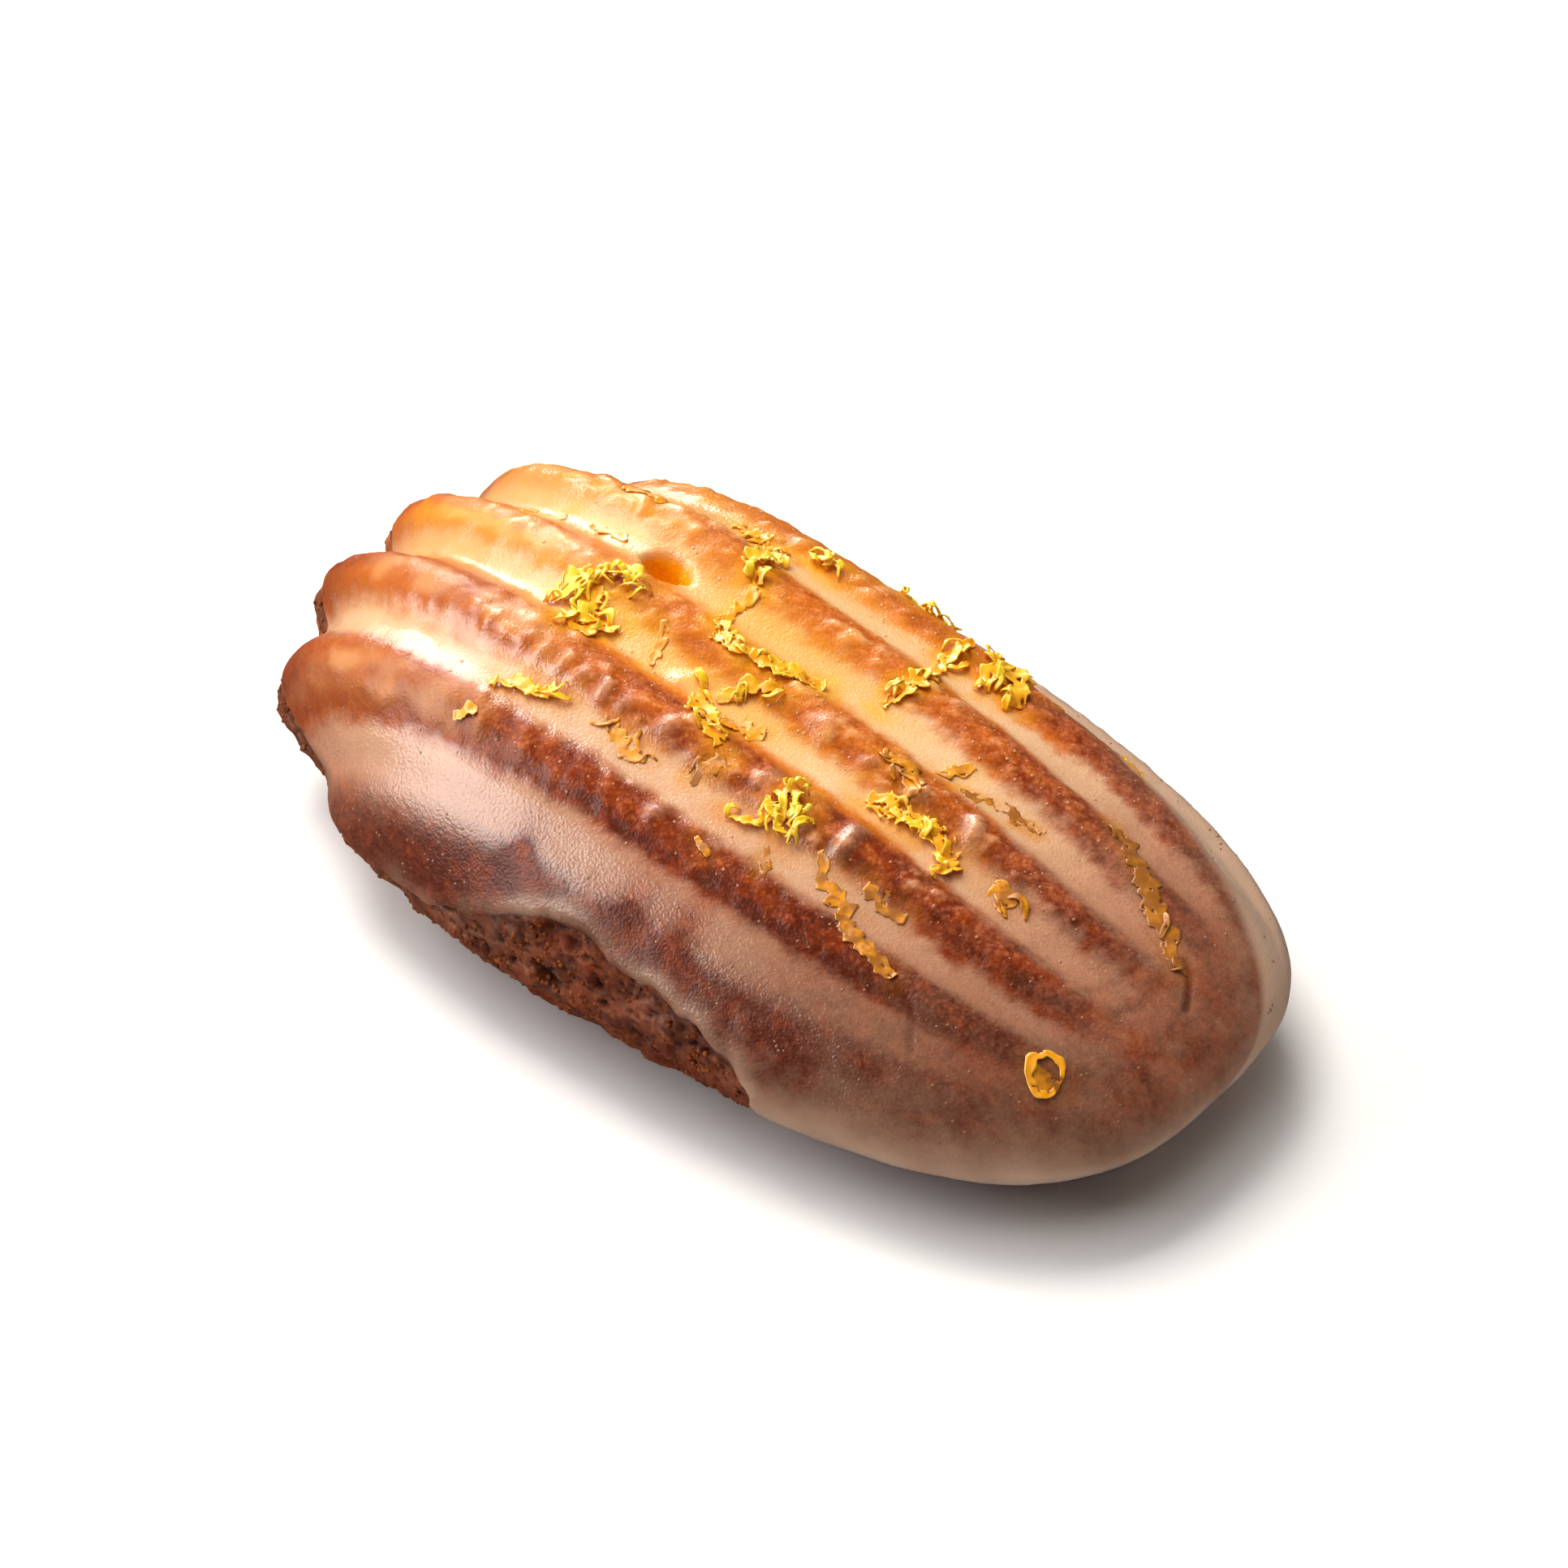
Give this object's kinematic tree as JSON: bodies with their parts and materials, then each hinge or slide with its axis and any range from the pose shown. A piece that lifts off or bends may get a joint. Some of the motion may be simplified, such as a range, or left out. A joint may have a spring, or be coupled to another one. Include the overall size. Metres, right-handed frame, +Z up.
{
  "type": "madeleine cake",
  "caption": "Shell-shaped sponge cake with long rounded flutes, a scalloped wide end, a smooth narrow nose and a low hump underneath, icing-glazed and strewn with shreds of lemon zest.",
  "frame": {"origin": "centre of the footprint, on the surface that the cake stands on", "axes": "+X from the scalloped wide end to the narrow nose, +Y across the cake, +Z up through the fluted shell side"},
  "size_m": [0.0778, 0.0432, 0.0233],
  "materials": {
    "crust": "satin",
    "glaze": "satin",
    "zest": "satin"
  },
  "bodies": {
    "root": {"cake": "crust"}
  },
  "joints": []
}
